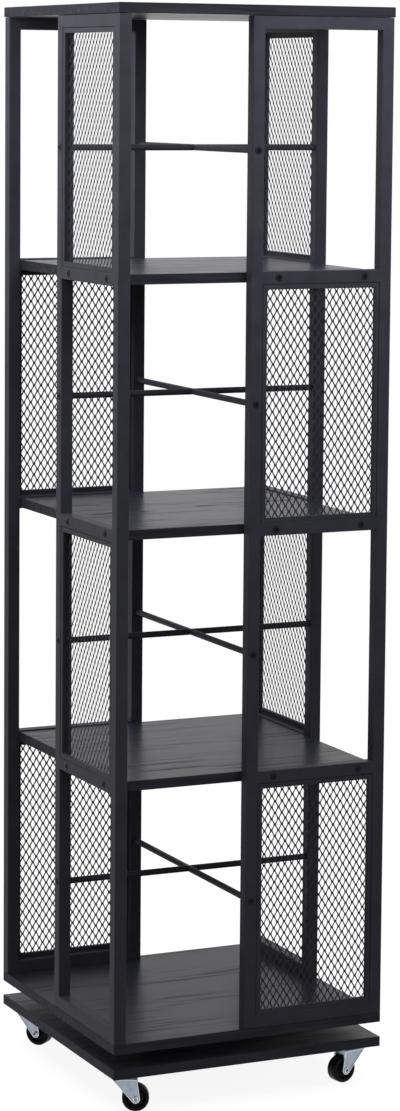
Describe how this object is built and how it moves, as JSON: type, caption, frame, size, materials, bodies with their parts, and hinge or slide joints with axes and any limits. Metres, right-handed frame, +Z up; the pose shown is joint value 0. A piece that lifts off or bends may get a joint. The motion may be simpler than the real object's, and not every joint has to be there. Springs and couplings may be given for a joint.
{
  "type": "revolving bookcase",
  "caption": "Tall square bookcase tower with open and mesh-backed book bays on every side, turning on a ball swivel above a base board on swivel castors.",
  "frame": {"origin": "on the floor under the spin axis, at the middle of the square footprint", "axes": "+Z up along the spin axis; +X and +Y square to the sides, with the front side facing -Y at rest"},
  "size_m": [0.352, 0.352, 1.29],
  "materials": {
    "black_wood_grain": "black wood-grain foil on board, satin, grain along X",
    "black_powder_coat": "charcoal black powder coat, satin, fine orange peel",
    "zinc_plate": "bright zinc plate on pressed steel, pale bluish grey",
    "ball_cage_brass": "plain sheet brass with steel balls",
    "black_wheel": "moulded black wheel, satin tread"
  },
  "bodies": {
    "base": {"base_board": "black_wood_grain", "swivel_lower_plate": "zinc_plate", "castor_plate_front_left": "zinc_plate", "castor_plate_front_right": "zinc_plate", "castor_plate_back_left": "zinc_plate", "castor_plate_back_right": "zinc_plate"},
    "tower": {"bottom_board": "black_wood_grain", "shelf_1": "black_wood_grain", "shelf_2": "black_wood_grain", "shelf_3": "black_wood_grain", "top_board": "black_wood_grain", "side_frame_front": "black_powder_coat", "side_frame_left": "black_powder_coat", "side_frame_back": "black_powder_coat", "side_frame_right": "black_powder_coat", "mesh_rim_front_1": "black_powder_coat", "mesh_rim_front_3": "black_powder_coat", "mesh_rim_left_2": "black_powder_coat", "mesh_rim_left_4": "black_powder_coat", "mesh_rim_back_1": "black_powder_coat", "mesh_rim_back_3": "black_powder_coat", "mesh_rim_right_2": "black_powder_coat", "mesh_rim_right_4": "black_powder_coat", "mesh_sheet_front_1": "black_powder_coat", "mesh_sheet_front_3": "black_powder_coat", "mesh_sheet_left_2": "black_powder_coat", "mesh_sheet_left_4": "black_powder_coat", "mesh_sheet_back_1": "black_powder_coat", "mesh_sheet_back_3": "black_powder_coat", "mesh_sheet_right_2": "black_powder_coat", "mesh_sheet_right_4": "black_powder_coat", "cross_brace_1": "black_powder_coat", "cross_brace_2": "black_powder_coat", "cross_brace_3": "black_powder_coat", "cross_brace_4": "black_powder_coat", "swivel_upper_plate": "zinc_plate"},
    "ball_cage": {"swivel_ball_cage": "ball_cage_brass"},
    "castor_front_left": {"castor_fork_front_left": "zinc_plate", "castor_axle_front_left": "zinc_plate"},
    "castor_front_right": {"castor_fork_front_right": "zinc_plate", "castor_axle_front_right": "zinc_plate"},
    "castor_back_left": {"castor_fork_back_left": "zinc_plate", "castor_axle_back_left": "zinc_plate"},
    "castor_back_right": {"castor_fork_back_right": "zinc_plate", "castor_axle_back_right": "zinc_plate"},
    "wheel_front_left": {"castor_wheel_front_left": "black_wheel"},
    "wheel_front_right": {"castor_wheel_front_right": "black_wheel"},
    "wheel_back_left": {"castor_wheel_back_left": "black_wheel"},
    "wheel_back_right": {"castor_wheel_back_right": "black_wheel"}
  },
  "joints": [
    {"name": "tower_spin", "type": "hinge", "parent": "base", "child": "tower", "pos_m": [0, 0, 0.067], "axis": [0, 0, 1], "continuous": true},
    {"name": "ball_cage_spin", "type": "hinge", "parent": "base", "child": "ball_cage", "pos_m": [0, 0, 0.067], "axis": [0, 0, 1], "continuous": true},
    {"name": "castor_swivel_front_left", "type": "hinge", "parent": "base", "child": "castor_front_left", "pos_m": [-0.147, -0.147, 0.04], "axis": [0, 0, 1], "continuous": true},
    {"name": "castor_swivel_front_right", "type": "hinge", "parent": "base", "child": "castor_front_right", "pos_m": [0.147, -0.147, 0.04], "axis": [0, 0, 1], "continuous": true},
    {"name": "castor_swivel_back_left", "type": "hinge", "parent": "base", "child": "castor_back_left", "pos_m": [-0.147, 0.147, 0.04], "axis": [0, 0, 1], "continuous": true},
    {"name": "castor_swivel_back_right", "type": "hinge", "parent": "base", "child": "castor_back_right", "pos_m": [0.147, 0.147, 0.04], "axis": [0, 0, 1], "continuous": true},
    {"name": "wheel_roll_front_left", "type": "hinge", "parent": "castor_front_left", "child": "wheel_front_left", "pos_m": [-0.13695, -0.15147, 0.016], "axis": [0.4067, 0.9135, 0], "continuous": true},
    {"name": "wheel_roll_front_right", "type": "hinge", "parent": "castor_front_right", "child": "wheel_front_right", "pos_m": [0.13617, -0.14891, 0.016], "axis": [0.1736, -0.9848, 0], "continuous": true},
    {"name": "wheel_roll_back_left", "type": "hinge", "parent": "castor_back_left", "child": "wheel_back_left", "pos_m": [-0.14038, 0.13822, 0.016], "axis": [0.7986, 0.6018, 0], "continuous": true},
    {"name": "wheel_roll_back_right", "type": "hinge", "parent": "castor_back_right", "child": "wheel_back_right", "pos_m": [0.13857, 0.15407, 0.016], "axis": [-0.6428, -0.766, 0], "continuous": true}
  ],
  "couplings": [
    {"joint": "ball_cage_spin", "follows": "tower_spin", "ratio": 0.5}
  ]
}
